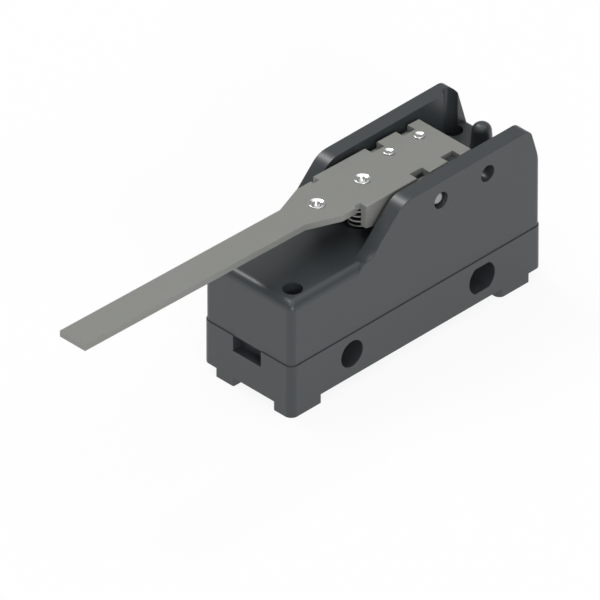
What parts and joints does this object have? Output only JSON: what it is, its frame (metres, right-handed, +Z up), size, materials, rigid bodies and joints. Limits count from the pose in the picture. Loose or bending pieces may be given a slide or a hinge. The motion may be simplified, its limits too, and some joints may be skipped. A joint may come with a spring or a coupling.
{
  "type": "lever micro switch",
  "caption": "Snap-action limit switch with a long hinged steel lever over a sprung plunger, in a dark moulded housing with cross mounting holes.",
  "frame": {"origin": "on the axis of the round mounting hole, at the middle of the housing's width", "axes": "+X along the housing, away from the lever's tip; +Y across the housing, along the mounting holes; +Z up, from the feet to the lever"},
  "size_m": [0.0825, 0.0172, 0.0263],
  "materials": {
    "base_moulding": "fine matt, dark grey",
    "cover_moulding": "fine matt, dark grey",
    "lever_steel": "rolled sheet, satin",
    "strip_steel": "satin",
    "rivet_steel": "bright plated",
    "pin_steel": "bright, polished ends",
    "plunger_moulding": "smooth, off-white",
    "spring_steel": "drawn wire",
    "spring_metal": "rolled spring strip",
    "contact_metal": "bright contact heads",
    "terminal_brass": "pressed sheet",
    "screw_steel": "bright plated"
  },
  "bodies": {
    "housing": {"base_housing": "base_moulding", "cover_housing": "cover_moulding", "hinge_pin": "pin_steel", "open_contact": "contact_metal", "closed_contact": "contact_metal", "blade_anchor": "terminal_brass", "common_terminal": "terminal_brass", "open_terminal": "terminal_brass", "closed_terminal": "terminal_brass", "common_terminal_screw": "screw_steel", "open_terminal_screw": "screw_steel", "closed_terminal_screw": "screw_steel", "common_clamp_plate": "screw_steel", "open_clamp_plate": "screw_steel", "closed_clamp_plate": "screw_steel", "cover_screw_front_near": "screw_steel", "cover_screw_front_far": "screw_steel", "cover_screw_rear_near": "screw_steel", "cover_screw_rear_far": "screw_steel"},
    "lever_body": {"lever": "lever_steel", "pusher_strip": "strip_steel", "lever_rivet_front": "rivet_steel", "lever_rivet_rear": "rivet_steel", "lever_stud_front": "rivet_steel", "lever_stud_rear": "rivet_steel"},
    "plunger_body": {"plunger": "plunger_moulding", "spring_cap": "strip_steel", "return_spring": "spring_steel"},
    "contact_blade": {"snap_blade": "spring_metal", "moving_contact": "contact_metal"}
  },
  "joints": [
    {"name": "lever_hinge", "type": "hinge", "parent": "housing", "child": "lever_body", "pos_m": [0.01745, 0, 0.017], "axis": [0, -1, 0], "range_deg": [0, 6], "stiffness_Nm_per_rad": 0.02, "springref_deg": -28.65},
    {"name": "plunger_slide", "type": "slide", "parent": "housing", "child": "plunger_body", "axis": [0, 0, -1], "range_m": [0, 0.00085], "deforming": ["return_spring"]},
    {"name": "contact_swing", "type": "hinge", "parent": "housing", "child": "contact_blade", "pos_m": [-0.0015, 0, 0.00655], "axis": [0, 1, 0], "range_deg": [0, 3.3]}
  ],
  "couplings": [
    {"joint": "plunger_slide", "follows": "lever_hinge", "m_per_rad": 0.0078},
    {"joint": "contact_swing", "follows": "lever_hinge", "ratio": 0.543}
  ]
}
